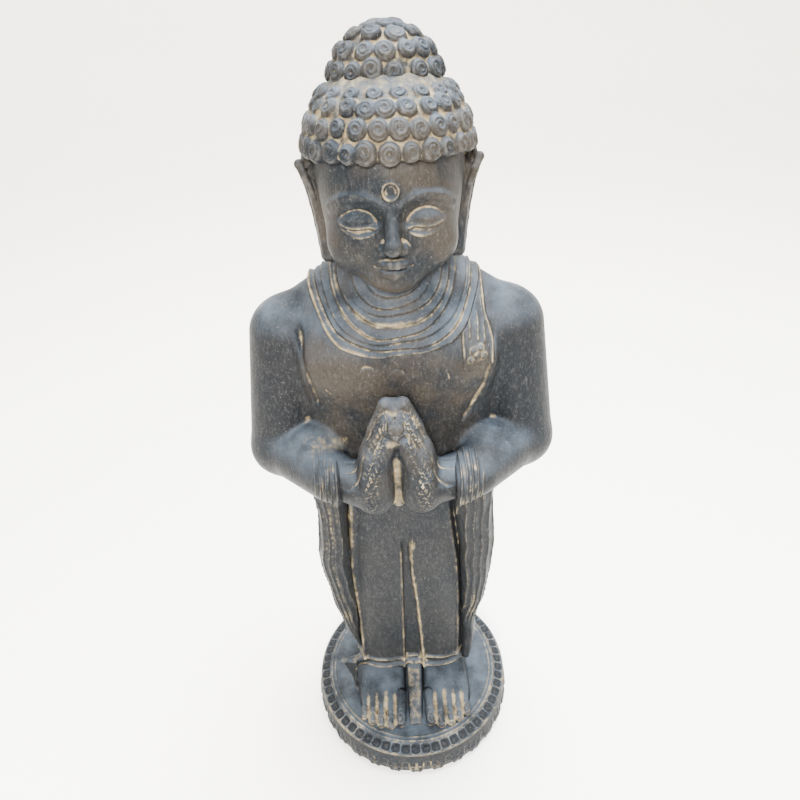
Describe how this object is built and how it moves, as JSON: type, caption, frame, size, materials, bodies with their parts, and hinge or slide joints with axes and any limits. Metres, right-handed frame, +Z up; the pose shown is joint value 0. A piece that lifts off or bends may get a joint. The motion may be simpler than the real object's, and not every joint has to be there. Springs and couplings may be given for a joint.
{
  "type": "standing buddha statue",
  "caption": "Standing robed figure with joined palms, a cap of snail curls and a topknot, on a round lotus plinth with a felt underside.",
  "frame": {"origin": "centre of the felt underside that the statue stands on, at the bottom centre of its box", "axes": "+Z up through the topknot, -Y the way the figure faces, +X its left side"},
  "size_m": [0.193, 0.1622, 0.5015],
  "materials": {
    "stone": "cast stone with a near-black waxed patina, satin sheen, ochre wash left in the recesses",
    "steel": "plain mild steel bar",
    "felt": "dark green pressed felt"
  },
  "bodies": {
    "root": {"felt_base": "felt", "lotus_base": "stone", "robe_skirt": "stone", "torso": "stone", "collar_folds": "stone", "shoulder_sash": "stone", "head": "stone", "curl_cap": "stone", "topknot": "stone", "left_foot": "stone", "left_robe_fall": "stone", "left_sleeve_cuff": "stone", "left_hand": "stone", "right_foot": "stone", "right_robe_fall": "stone", "right_sleeve_cuff": "stone", "right_hand": "stone", "neck_dowel": "steel", "crown_dowel": "steel", "left_leg_rod": "steel", "left_wrist_dowel": "steel", "right_leg_rod": "steel", "right_wrist_dowel": "steel"}
  },
  "joints": []
}
